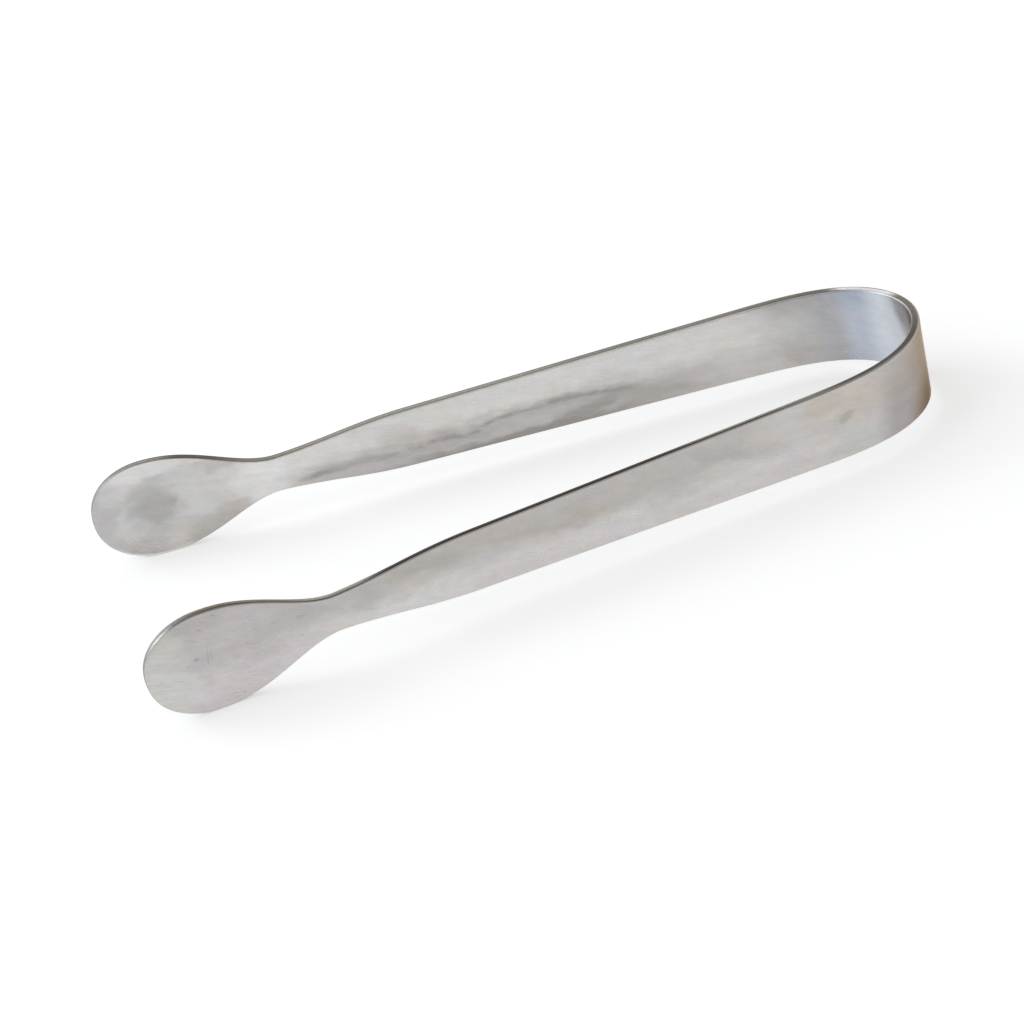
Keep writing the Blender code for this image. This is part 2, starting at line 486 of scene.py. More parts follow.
# %% Cut and bend
SHOULDER_CUT = 20 * MM
PAST_TIP = HALF_STRIP + 1 * MM
CUTS = {"bow": (0, SHOULDER_CUT), "arm": (SHOULDER_CUT, NECK_END), "bowl": (NECK_END, PAST_TIP)}
GUARD = 0.04 * MM
SMOOTH_BELOW = math.radians(40)


def cut_across(at, keep=None):
    """Cuts the open piece across at a place. keep is which side stays, or None to leave both."""
    bpy.ops.mesh.select_all(action="SELECT")
    bpy.ops.mesh.bisect(
        plane_co=(at, 0, 0),
        plane_no=(1, 0, 0),
        use_fill=keep is not None,
        clear_inner=keep == "after",
        clear_outer=keep == "before",
        threshold=TINY / 10,
    )


def bend(piece):
    """Slides the flat piece so that the front tip is at the start of the line, and lays it along the line."""
    open_piece(piece)
    bpy.ops.mesh.select_all(action="SELECT")
    bpy.ops.transform.translate(value=(HALF_STRIP, 0, 0))
    close_piece()
    piece.location.z = MID_HEIGHT
    bpy.context.view_layer.update()
    finish_with(piece, "CURVE", object=bend_line)
    bpy.ops.object.transform_apply(location=True, rotation=True, scale=True)
    bpy.ops.object.shade_smooth_by_angle(angle=SMOOTH_BELOW)


def make_length(blank, name, start, end):
    """One length of the strip, between two places. The front half has the negative places."""
    select_only(blank)
    bpy.ops.object.duplicate()
    piece = bpy.context.object
    piece.name = name
    open_piece(piece)
    for at in (start - GUARD, start + GUARD, end - GUARD, end + GUARD):
        cut_across(at)
    cut_across(start, keep="after")
    cut_across(end, keep="before")
    close_piece()
    face_outwards(piece)
    bend(piece)
    print(name, len(piece.data.polygons), "faces")
    return piece


pieces = {}
for name, (start, end) in CUTS.items():
    pieces[name + "_strip_front"] = make_length(blank, name + "_strip_front", -end, -start)
    pieces[name + "_strip_rear"] = make_length(blank, name + "_strip_rear", start, end)
bpy.data.objects.remove(blank)
bpy.data.objects.remove(bend_line)

# %% [markdown]
# ## Nodes as sums
# A finish is a network of nodes. Written with plain arithmetic it can be read: this small class wraps a
# node's output, and adding, taking away or multiplying adds the Math nodes. Every other node is made by one
# method, which takes its type, its settings and what goes into its sockets. Three more methods make masks:
# between is a soft step, within is a soft band, and swing centres noise on 0.

# %% A socket that can be added and multiplied
class Finish:
    """A network of nodes under construction, in a material or in the world."""

    def __init__(self, tree):
        self.tree = tree
        tree.nodes.clear()

    def node(self, kind, settings=None, sockets=None, output=0):
        made = self.tree.nodes.new("ShaderNode" + kind)
        for name, value in (settings or {}).items():
            setattr(made, name, value)
        for name, value in (sockets or {}).items():
            if isinstance(value, Socket):
                self.tree.links.new(value.output, made.inputs[name])
            else:
                made.inputs[name].default_value = value
        return None if output is None else Socket(self, made.outputs[output])

    def vector(self, operation, first, second=(0, 0, 0), third=(0, 0, 0)):
        return self.node("VectorMath", {"operation": operation}, {0: first, 1: second, 2: third})

    def mix(self, amount, first, second):
        """The first colour where the amount is 0, the second where it is 1."""
        return self.node("Mix", {"data_type": "RGBA"}, {0: amount, 6: first, 7: second}, output=2)

    def end_in(self, kind, shader):
        self.node(kind, {}, {"Surface": shader}, output=None)


class Socket:
    """A node's output, which takes part in arithmetic."""

    def __init__(self, finish, output):
        self.finish = finish
        self.output = output

    def math(self, operation, first, second=0.0):
        return self.finish.node("Math", {"operation": operation}, {0: first, 1: second})

    def __add__(self, other):
        return self.math("ADD", self, other)

    def __radd__(self, other):
        return self.math("ADD", other, self)

    def __sub__(self, other):
        return self.math("SUBTRACT", self, other)

    def __rsub__(self, other):
        return self.math("SUBTRACT", other, self)

    def __mul__(self, other):
        return self.math("MULTIPLY", self, other)

    def __rmul__(self, other):
        return self.math("MULTIPLY", other, self)

    def __truediv__(self, other):
        return self.math("DIVIDE", self, other)

    def __abs__(self):
        return self.math("ABSOLUTE", self)

    def between(self, low, high):
        """0 below low, 1 above high, and a smooth rise between them. High may be the smaller."""
        sockets = {"Value": self, "From Min": low, "From Max": high}
        return self.finish.node("MapRange", {"interpolation_type": "SMOOTHSTEP"}, sockets)

    def within(self, start, full, fade, end):
        """1 from full to fade, 0 before start and after end."""
        return self.between(start, full) * self.between(end, fade)

    def swing(self, amount):
        """Noise, which lies about 0.5, made to swing about 0 by half of the amount."""
        return (self - 0.5) * amount


def new_finish(name):
    material = bpy.data.materials.new(name)
    material.use_nodes = True
    return material, Finish(material.node_tree)


print("finishes are ready to be written")

# %% [markdown]
# ## The colours of the steel, and its painted reflections
# Stainless steel is nearly white when it is new. In use it takes a grey film, and straw where it was hot. Each
# colour here is the bare colour of the metal under that film, or a painted reflection: the blues inside the bow
# are a painted reflection of the window, and the tan and dark brown on its outside are painted reflections too.
# The two faces are painted differently: the inner face is lighter above and painted shade below, and the outer
# face is lighter below and darker above, both painted reflections of the floor and its shade.

# %% Steel colours
INNER_STEEL = (0.660, 0.640, 0.622, 1)
# painted shade: the colour of the inner face's lower half, a reflection of the floor's shade
INNER_LOWER_SHADE = (0.440, 0.422, 0.408, 1)
OUTER_STEEL = (0.630, 0.606, 0.596, 1)
# painted shade: the colour of the outer face's upper half, a reflection of the far floor
OUTER_UPPER_SHADE = (0.485, 0.466, 0.446, 1)
BRIGHT = (0.710, 0.700, 0.690, 1)
FILM = (0.550, 0.538, 0.528, 1)
GREY = (0.440, 0.428, 0.420, 1)
DARK = (0.300, 0.284, 0.276, 1)
OLIVE = (0.410, 0.396, 0.362, 1)
STRAW = (0.590, 0.535, 0.480, 1)
# TAN and BROWN are painted reflections on the outside of the bow
TAN = (0.430, 0.378, 0.320, 1)
BROWN = (0.205, 0.155, 0.110, 1)
RUST = (0.450, 0.405, 0.365, 1)
PINKISH = (0.630, 0.598, 0.586, 1)
PALE_PINK = (0.800, 0.765, 0.745, 1)
LILAC = (0.510, 0.478, 0.486, 1)
PALE_LILAC = (0.655, 0.614, 0.628, 1)
WARM_GREY = (0.420, 0.386, 0.378, 1)
GREENISH = (0.550, 0.550, 0.522, 1)
# BLUE, DEEP_BLUE, SKY and PALE_SKY are painted reflections of the window inside the bow
BLUE_GREY = (0.396, 0.404, 0.430, 1)
BLUE = (0.500, 0.535, 0.625, 1)
DEEP_BLUE = (0.365, 0.415, 0.490, 1)
SKY = (0.680, 0.718, 0.785, 1)
PALE_SKY = (0.850, 0.870, 0.920, 1)
print("cleanest steel", BRIGHT[:3], "and darkest stain", DARK[:3])

# %% [markdown]
# ## Where the steel is marked
# A mark is an oval of another colour with a soft, ragged edge. Its middle and its reach are millimetres
# along the strip, from the middle of the bow, and across it. Then come its slant, its strength and its
# colour. The marks are laid in order, like washes of paint, so a later one covers an earlier one.
# The neat marks come after the ragged ones. Their edges are even: they are painted reflections in bands of
# colour round the bow, and a few small scratches and a pit. A few ragged marks are painted light too, in the
# rear bowl. All this could be painted by hand on an image, but ovals need no file and stay smooth however near
# the camera comes.

# %% Marks on the faces
SLANT = math.radians(20)

INNER_MARKS = (
    ((13, 0), (14, 14), 0, 0.70, GREY),
    ((21, -3), (3.5, 1.8), SLANT, 0.35, RUST),
    ((88, -3), (9, 1.3), 0, 0.60, LILAC),
    ((66, -3.9), (18, 1.5), 0, 0.35, INNER_STEEL),
    ((60, -2.4), (9, 1.0), 0, 0.45, FILM),
    ((79.5, 0.2), (5.5, 1.9), SLANT, 0.40, RUST),
    ((54, -0.5), (8, 1.1), 0, 0.35, DARK),
    ((54, -3.2), (9, 1.3), -SLANT / 2, 0.65, DARK),
    ((64, -4.9), (19, 1.15), 0, 0.80, DARK),
    ((73, -4.3), (12, 1.3), 0, 0.55, DARK),
    ((80, 3), (14, 3), 0, 0.30, FILM),
    ((50, 1.0), (4.5, 1.6), 0, 0.35, LILAC),
    ((44, -2.9), (9, 1.7), SLANT / 2, 0.50, OLIVE),
    ((116, -0.5), (15, 9), 0, 0.85, FILM),
    ((102, 0), (4, 5), 0, 0.75, BRIGHT),
    ((111.5, -6.2), (6.5, 3.4), 0, 0.75, OLIVE),
    ((120, -6.5), (7, 4.2), 0, 0.60, PINKISH),
    # painted light: lightens the rear bowl low down, where its dish reflects the other bowl's dark inside
    ((119.5, -8), (5.5, 2.4), 0, 0.90, PALE_PINK),
    # painted reflection: the dark oval in the middle of the rear bowl's dish
    ((118, 0.2), (4.7, 5.0), 0, 0.95, GREY),
    ((117.3, -1.2), (3.2, 3), 0, 0.28, DARK),
    ((119, 6.3), (7, 2.0), 0, 0.85, BRIGHT),
    ((124.5, 2.5), (2.8, 4.5), 0, 0.25, BLUE_GREY),
    ((126.2, 0), (2.6, 7.5), 0, 0.60, GREY),
    ((107, -3.8), (3.4, 1.7), 0, 0.60, RUST),
    ((107.5, 4.4), (3, 1.4), 0, 0.50, OLIVE),
)

# painted reflections of the window and the sky inside the bow
BOW_INSIDE_REFLECTIONS = (
    ((20, 6.8), (9, 3.6), 0, 0.70, WARM_GREY),
    ((14, 3), (5, 14), 0, 0.75, BLUE_GREY),
    ((10, 2), (4.2, 14), 0, 0.85, BLUE),
    ((11.5, 7), (4.5, 4.4), 0, 0.75, DEEP_BLUE),
    ((4, 0), (6.0, 20), 0, 0.95, SKY),
    ((0, 4), (3.4, 6), 0, 0.90, PALE_SKY),
)

# Two of these are painted reflections of the floor: the pale lilac low on the bowl and the bright mark low on
# the arm.
OUTER_MARKS = (
    ((113, -5.5), (13, 5), 0, 0.80, PALE_LILAC),
    ((113, 2.5), (12, 7), 0, 0.45, LILAC),
    ((125.5, -1), (5.5, 12), 0, 0.75, GREENISH),
    ((119.3, 1.2), (1.6, 6), 0, 0.30, GREY),
    ((105, 2.8), (4.5, 1.6), SLANT, 0.30, OLIVE),
    ((95, 0.5), (1.6, 3.4), 0, 0.45, GREY),
    ((88, 3.2), (8, 1.7), SLANT / 2, 0.55, OLIVE),
    ((87, -2.8), (9, 2.4), 0, 0.45, BRIGHT),
    ((72, 2.6), (13, 2.2), SLANT / 2, 0.35, RUST),
    ((63.5, 1.4), (3.4, 2.6), SLANT, 0.40, RUST),
    ((50.5, -1.2), (3.5, 2.2), 0, 0.35, GREY),
    ((42, 2.2), (7, 1.5), SLANT, 0.70, GREY),
    ((31, 3), (7, 4.5), 0, 0.40, OUTER_STEEL),
    ((22.5, 3.2), (7.5, 3.8), SLANT / 2, 0.70, STRAW),
    ((26, 4.2), (3.6, 2.4), 0, 0.40, RUST),
    ((22, -4), (5, 4), 0, 0.60, GREENISH),
    ((23.3, 0.4), (1.2, 0.8), SLANT, 0.60, OLIVE),
)

OUTER_SCRATCHES_AND_REFLECTIONS = (
    ((119.8, 1.9), (0.4, 0.3), 0, 0.60, DARK),
    ((118.2, 1.8), (0.16, 1.5), SLANT / 2, 0.30, DARK),
    ((117.7, 1.9), (0.14, 1.2), SLANT / 2, 0.25, DARK),
    # the next three are painted reflections on the outside of the bow: warm grey, tan and dark brown
    ((13, -4), (5.4, 10), 0, 0.85, WARM_GREY),
    ((4, 3), (8.5, 20), 0, 0.90, TAN),
    ((3, -7), (9.5, 7), 0, 0.92, BROWN),
)

print(len(INNER_MARKS + BOW_INSIDE_REFLECTIONS), "inner marks,", len(OUTER_MARKS + OUTER_SCRATCHES_AND_REFLECTIONS), "outer marks")

# %% [markdown]
# ## The colours of the cut edge
# A shear leaves the edge rough and darker than the faces. It is worn pale at the tips of the bowls. Along the
# rest its tone is partly painted reflection: darkest along the front arm, and a painted highlight on the rear
# side of the bow. The edge is the same on both sides of the middle, so its marks run right across it, and here
# the first number has a sign: the front arm's is negative.

# %% Marks on the edge
EDGE_STEEL = (0.230, 0.222, 0.195, 1)
EDGE_DARK = (0.085, 0.076, 0.072, 1)
EDGE_OLIVE = (0.350, 0.345, 0.295, 1)
EDGE_PALE_OLIVE = (0.480, 0.465, 0.405, 1)
EDGE_TAN = (0.330, 0.280, 0.225, 1)
EDGE_WORN = (0.380, 0.378, 0.385, 1)
EDGE_PAINTED_HIGHLIGHT = (0.960, 0.990, 1.000, 1)
EDGE_GLINT = (0.900, 0.880, 0.860, 1)
EDGE_RED = (0.180, 0.142, 0.138, 1)
CORNER_DARK_REFLECTION = (0.045, 0.040, 0.038, 1)

EDGE_MARKS_AND_REFLECTIONS = (
    ((-70, 0), (36, 9), 0, 0.85, EDGE_DARK),
    ((-99.5, 0), (7, 9), 0, 0.85, EDGE_PALE_OLIVE),
    ((-113, 0), (9, 9), 0, 0.75, EDGE_TAN),
    ((-125, 0), (7, 9), 0, 0.95, EDGE_WORN),
    ((-36, 0), (12, 9), 0, 0.80, EDGE_OLIVE),
    ((-14, 0), (12, 9), 0, 0.68, EDGE_DARK),
    # painted highlight on the edge, on the rear side of the bow
    ((7.6, 0), (3.6, 9), 0, 1.00, EDGE_PAINTED_HIGHLIGHT),
    ((10.4, 0), (4.7, 9), 0, 1.00, EDGE_PAINTED_HIGHLIGHT),
    ((45, 0), (24, 9), 0, 0.95, EDGE_OLIVE),
    ((78, 0), (28, 9), 0, 0.95, EDGE_PALE_OLIVE),
    ((112, 0), (7, 9), 0, 0.85, EDGE_RED),
    ((119, 0), (5.5, 9), 0, 0.85, EDGE_PALE_OLIVE),
    ((126, 0), (6, 9), 0, 0.95, EDGE_WORN),
)
print(len(EDGE_MARKS_AND_REFLECTIONS), "marks on the edge")

# %% [markdown]
# ## A place on the strip
# Every layer of the finish asks where a point lies on the flat strip, so that is worked out once. along and
# across are in millimetres, and reach is the distance from the middle of the bow on either arm. The two arms
# are worn alike but not the same: on the outer face of the rear arm and the inner face of the front arm, the
# marks lie a little further from the bow.
#
# Noise laid along the strip gives the wear its direction, as a cloth and fingers do. Its streaks run level in
# the bow and climb along the arms.
#
# A soft step is given by two places, where it is 0 and where it is 1. A soft band is given by four: where it
# starts, where it is full, where it starts to fade and where it ends. How strong a layer is, is a share of 1,
# and heights in the bump are millimetres.

# %% The strip's coordinates and noise
MARKS_MOVED = 6
MOVED_FROM = (24, 40)
CLIMB_EASE = 12
FACES_APART = 7
RAGGEDNESS = (7, 3.2, 0)
SHOULDER = (9, 15, 24, 34)
FRONT_ARM = (-96, -90, -36, -26)
IN_THE_BOW = (18, 10)
INNER_CORNER = (-1.0, -0.96, -0.6, -0.5)
MIDDLE_OF_SHEET = (-0.1, 0.1)
OVAL_EDGE = (1.2, 0.45)


class Strip:
    """Where a point of the steel lies on the flat strip, and the noise that several layers share."""

    def __init__(self, finish):
        self.finish = finish
        self.flat = finish.node("UVMap", {"uv_map": STRIP_MAP})
        self.along = finish.node("SeparateXYZ", {}, {0: self.flat}, output="X")
        self.across = finish.node("SeparateXYZ", {}, {0: self.flat}, output="Y")
        self.through = finish.node("Attribute", {"attribute_name": THROUGH}, output="Fac")
        self.outside = self.through.between(*MIDDLE_OF_SHEET)
        moved = (self.along * self.through).between(-1, 1) * abs(self.along).between(*MOVED_FROM)
        self.reach = abs(self.along) - moved * MARKS_MOVED
        self.climb = self.reach * self.reach / (self.reach + CLIMB_EASE)
        self.shoulder = self.reach.within(*SHOULDER)
        self.front_arm = self.along.within(*FRONT_ARM)
        self.inner_corner = self.through.within(*INNER_CORNER) * self.reach.between(*IN_THE_BOW)

        self.patches = self.noise(size=(15, 6), seed=3.1)
        self.streaks = self.noise(size=(12, 0.9), seed=11.7, detail=3, slope=0.12)
        self.brushing = self.noise(size=(1.6, 0.16), seed=5.3, slope=0.35)
        self.mottle = self.noise(size=(2.2, 1.4), seed=61.3, slope=0.2)

        self.place = finish.node("CombineXYZ", {}, {0: self.reach, 1: self.across})
        cloud = self.noise(size=(4.5, 2.2), seed=40.2, detail=3, output="Color")
        push = finish.vector("SUBTRACT", cloud, (0.5, 0.5, 0.5))
        self.ragged = finish.vector("MULTIPLY_ADD", push, RAGGEDNESS, self.place)
        self.ragged_across = finish.node("SeparateXYZ", {}, {0: self.ragged}, output="Y")

    def noise(self, size, seed, detail=2.0, slope=0.0, output="Fac"):
        """Noise with a size along and across the strip, in millimetres. Its streaks climb by slope, and the
        two faces differ."""
        size_along, size_across = size
        climbed = self.across - self.climb * slope
        layer = self.outside * FACES_APART + seed
        sockets = {0: self.along / size_along, 1: climbed / size_across, 2: layer}
        place = self.finish.node("CombineXYZ", {}, sockets)
        sockets = {"Vector": place, "Scale": 1.0, "Detail": detail}
        return self.finish.node("TexNoise", {}, sockets, output=output)


def paint(finish, place, colour, marks):
    """Lays soft ovals over a colour, one after another."""
    for middle, reach, slant, strength, tint in marks:
        oval = {"Vector": place, "Location": (*middle, 0), "Rotation": (0, 0, slant), "Scale": (*reach, 1)}
        from_middle = finish.node("Mapping", {"vector_type": "TEXTURE"}, oval)
        distance = finish.node("VectorMath", {"operation": "LENGTH"}, {0: from_middle}, output="Value")
        colour = finish.mix(distance.between(*OVAL_EDGE) * strength, colour, tint)
    return colour


print("marks move", MARKS_MOVED, "mm on the two faces that differ")

# %% [markdown]
# ## The inner face
# The lower half of the inner face is painted darker, from the bow to the bowls: painted shade, as the floor's
# shade is reflected there. Through it runs a dark tide line, such as drying water leaves. It is a band above a
# wandering level, crisp below and smudged above. One more row of dark ovals would be simpler, but it would
# look like beads.

# %% Paint the inner face
LOWER_SHADE_ACROSS = (1.6, -2.4)
LOWER_SHADE_END = (103, 91)
LESS_SHADE_NEAR_BOW = (46, 26)
SHADE_LOST_NEAR_BOW = 0.65
TIDE_LEVEL = -1.8
TIDE_RISE = 1.2
TIDE_RISEN = (46, 53, 66, 71)
TIDE_STRETCH = (44, 50, 94, 98)
TIDE_FAINT = (79, 83, 90, 93)
TIDE_WANDER = 0.4
TIDE_JITTER = 0.8
TIDE_BORDER = (-0.8, 0)
TIDE_SMUDGE = (0.8, 0)
TIDE_HAZE = (2.6, 0)
HAZE_SHARE = 0.4
TIDE_GAPS = (0.3, 0.6)
TIDE_DARKNESS = 0.8
TIDE_FADING = 0.35


def tide_line(strip):
    """How dark the tide line is: 0 away from it, most along its lower border."""
    level = TIDE_LEVEL + strip.reach.within(*TIDE_RISEN) * TIDE_RISE
    wander = (strip.ragged_across - strip.across) * TIDE_WANDER + strip.mottle.swing(TIDE_JITTER)
    above = strip.across + wander - level
    smudge = above.between(*TIDE_SMUDGE) * (1 - HAZE_SHARE) + above.between(*TIDE_HAZE) * HAZE_SHARE
    line = above.between(*TIDE_BORDER) * smudge * strip.reach.within(*TIDE_STRETCH)
    broken = strip.noise(size=(2.5, 1.2), seed=33.3).between(*TIDE_GAPS)
    return line * broken * (TIDE_DARKNESS - strip.reach.within(*TIDE_FAINT) * TIDE_FADING)


def inner_face(finish, strip):
    # painted shade: the lower half darker, a painted reflection of the floor's shade
    length = strip.reach.between(*LOWER_SHADE_END) * (1 - strip.reach.between(*LESS_SHADE_NEAR_BOW) * SHADE_LOST_NEAR_BOW)
    face = finish.mix(strip.ragged_across.between(*LOWER_SHADE_ACROSS) * length, INNER_STEEL, INNER_LOWER_SHADE)
    face = paint(finish, strip.ragged, face, INNER_MARKS)
    face = paint(finish, strip.place, face, BOW_INSIDE_REFLECTIONS)
    return finish.mix(tide_line(strip), face, DARK)


print("the tide line runs from", TIDE_STRETCH[0], "to", TIDE_STRETCH[-1], "mm")

# %% [markdown]
# ## The outer face, and its small damage
# The outer face is held and knocked. It is painted darker above than below, a painted reflection of the floor,
# and it has what the inner face lacks: short dark dashes and pits. Dashes are the highest peaks of a fine
# stretched noise. Pits are the middles of Voronoi cells, thinned out by a slow noise so that they come in
# groups.
# Modelled dents would be real, but these are finer than any mesh should be.

# %% Paint the outer face
UPPER_SHADE_ACROSS = (-2.5, 1.8)
DASH_PEAKS = (0.63, 0.72)
DASH_GROUPS = (0.40, 0.55)
DASH_DARKNESS = 0.2
DARKER_DASHES = (92, 105)
PITS_PER_MM = 0.42
PIT_RIM = (0.080, 0.035)
PIT_GROUPS = (0.42, 0.55)


def outer_face(finish, strip):
    # painted shade: the upper half darker, a painted reflection of the far floor
    face = finish.mix(strip.ragged_across.between(*UPPER_SHADE_ACROSS), OUTER_STEEL, OUTER_UPPER_SHADE)
    face = paint(finish, strip.ragged, face, OUTER_MARKS)
    return paint(finish, strip.place, face, OUTER_SCRATCHES_AND_REFLECTIONS)


def dark_dashes(strip):
    dashes = strip.noise(size=(1.1, 0.22), seed=74.8, detail=1, slope=0.3).between(*DASH_PEAKS)
    grouped = strip.noise(size=(8, 4), seed=51.2).between(*DASH_GROUPS)
    darkness = DASH_DARKNESS * (1 + strip.reach.between(*DARKER_DASHES))
    return dashes * grouped * strip.outside * darkness


def dark_pits(finish, strip):
    cells = finish.vector("MULTIPLY", strip.flat, (PITS_PER_MM, PITS_PER_MM, 0))
    from_middle = finish.node("TexVoronoi", {}, {"Vector": cells})
    grouped = strip.noise(size=(6, 4), seed=15.5).between(*PIT_GROUPS)
    return from_middle.between(*PIT_RIM) * grouped * strip.outside


print("cells for pits are", round(1 / PITS_PER_MM, 2), "mm wide")

# %% [markdown]
# ## Grain and clouds
# Used sheet is never one even grey. A fine grain from brushing at a slant, long streaks, soft clouds and a
# speckle each make the colour a little lighter or darker, and the tip of the outer face is scratched. They
# are added up to one factor near 1, and the colour is multiplied by it once. Faint patches of other hues go
# on in the same way, as a factor for each of red, green and blue.

# %% Shade and tint the faces
HUE_SWING = (0.12, 0.04, 0.13)
HUE_LOWEST = (0.94, 0.98, 0.935)
GRAIN = 0.10
MORE_GRAIN_OUTSIDE = 0.06
OUTSIDE_FROM = (70, 95)
MORE_GRAIN_INSIDE = 0.08
INSIDE_UP_TO = (104, 98)
CLOUDS = 0.12
MOTTLE = 0.16
SPECKLE = 0.12
SCRATCHES = 0.35
SCRATCHED_TIP = (119, 125)


def shade_of(strip):
    """How light or dark the steel is beside its own colour, as a factor near 1."""
    outside, inside = strip.outside, 1 - strip.outside
    more_outside = outside * strip.reach.between(*OUTSIDE_FROM) * MORE_GRAIN_OUTSIDE
    more_inside = inside * strip.reach.between(*INSIDE_UP_TO) * MORE_GRAIN_INSIDE
    grain = strip.brushing.swing(GRAIN + more_outside + more_inside)
    clouds = strip.patches.swing(CLOUDS) + strip.streaks.swing(CLOUDS) + strip.mottle.swing(MOTTLE)
    speckle = strip.noise(size=(0.35, 0.3), seed=8.8).swing(SPECKLE)
    tip = outside * strip.reach.between(*SCRATCHED_TIP)
    scratches = strip.noise(size=(2.2, 0.14), seed=83.7, slope=0.1).swing(SCRATCHES) * tip
    return 1 + clouds + grain + speckle + scratches


def grained(finish, strip, face):
    face = finish.vector("MULTIPLY", face, shade_of(strip))
    hue = strip.noise(size=(4, 2.4), seed=92.6, slope=0.15, output="Color")
    tint = finish.vector("MULTIPLY_ADD", hue, HUE_SWING, HUE_LOWEST)
    return finish.vector("MULTIPLY", face, tint)


print("patches of hue change red by up to", HUE_SWING[0])

# %% [markdown]
# ## The cut edge
# The edge lies where the place through the sheet is near neither face. It has its own marks, and a painted
# dark reflection along its outer corner. On the front arm this line takes up most of the edge, and a painted
# glint lightens the rounded corner beside it. The inner corner in the middle of the bow is painted darker,
# painted shade that dims its highlight, up to where the edge's painted highlight starts. The edge could be a
# second material, but two materials always meet in a hard line, and this border is soft.

# %% Paint the cut edge
EDGE_BORDER = (0.78, 0.62)
OUT_ON_REAR_BOWL = 0.2
TO_REAR_BOWL = (70, 105)
IN_ON_ARMS = 0.12
UP_TO_NECKS = (104, 94)
IN_ON_SHOULDERS = 0.1
EDGE_GRAIN = 0.5
OUTER_CORNER = (0.25, 0.50)
CORNER_STRETCH = (4, 8, 114, 123)
WIDER_ON_FRONT_ARM = 0.35
CORNER_REFLECTION_STRENGTH = 0.9
WEAKER_ON_SHOULDERS = 0.5
GLINT_THROUGH = (0.56, 0.66, 0.84, 0.94)
GLINT_STRENGTH = 0.7
CORNER_SHADE_ENDS = (7, 4)
CORNER_SHADE_SHARE = 0.6


def on_the_edge(strip):
    """1 on the cut edge and 0 on the faces. The border lies further out on the rear bowl, and further in on
    the outer face of the arms and the bow."""
    further_in = strip.reach.between(*UP_TO_NECKS) * IN_ON_ARMS + strip.shoulder * IN_ON_SHOULDERS
    moved = strip.along.between(*TO_REAR_BOWL) * OUT_ON_REAR_BOWL - strip.outside * further_in
    low, high = EDGE_BORDER
    return abs(strip.through).between(low + moved, high + moved)


def edge_colour(finish, strip):
    place = finish.node("CombineXYZ", {}, {0: strip.along})
    edge = paint(finish, place, EDGE_STEEL, EDGE_MARKS_AND_REFLECTIONS)
    rough = strip.noise(size=(0.5, 40), seed=27.1, detail=3)
    edge = finish.vector("MULTIPLY", edge, 1 + rough.swing(EDGE_GRAIN))
    # painted dark reflection along the outer corner, widest on the front arm
    corner = (strip.through + strip.front_arm * WIDER_ON_FRONT_ARM).between(*OUTER_CORNER)
    dark_reflection = strip.reach.within(*CORNER_STRETCH) * (CORNER_REFLECTION_STRENGTH - strip.shoulder * WEAKER_ON_SHOULDERS)
    return finish.mix(corner * dark_reflection, edge, CORNER_DARK_REFLECTION)


def with_corners(finish, strip, face):
    """A painted glint on the front arm's outer corner, and painted shade on the inner corner of the bow."""
    # painted highlight: a glint on the front arm's rounded outer corner
    glint = strip.through.within(*GLINT_THROUGH) * strip.front_arm
    face = finish.mix(glint * GLINT_STRENGTH, face, EDGE_GLINT)
    # painted shade on the inner corner in the middle of the bow, dimming its highlight
    painted_shade = strip.inner_corner * strip.along.between(*CORNER_SHADE_ENDS) * CORNER_SHADE_SHARE
    return finish.mix(painted_shade, face, DARK)


print("the edge's own colour reaches", EDGE_BORDER[1], "of the way from the middle of the sheet to its face")

# %% [markdown]
# ## The steel
# The layers are put together in this order: the faces with their marks and painted reflections, the grain,
# the damage, the painted glint and shade on the corners, and the edge over all. Slow waves in the sheet, the
# grain and the pits go into the bump. Brushed and tumbled steel is satin, so the roughness is moderate, and
# greater where it is rubbed.
#
# Bare metal turns white where it is seen at a slant. This steel doesn't, because of its film, so the constant
# Specular Tint browns it there.

# %% The steel finish
SATIN = 0.25
ROUGHER_PATCHES = 0.14
ROUGHER_BRUSHING = 0.08
ROUGHER_CORNER = 0.2
ROUGHER_EDGE = 0.10
ROUGHER_TIPS = 0.14
TO_BOWL_TIPS = (108, 122)
SMOOTHER_BOW = 0.12
BOW_UP_TO = (18, 14)
WAVE_HEIGHT = 0.06
STREAK_HEIGHT = 0.004
BRUSHING_HEIGHT = 0.003
PIT_DEPTH = 0.02
PIT_DARKNESS = 0.5
BROWN_AT_A_SLANT = (0.66, 0.57, 0.48, 1)


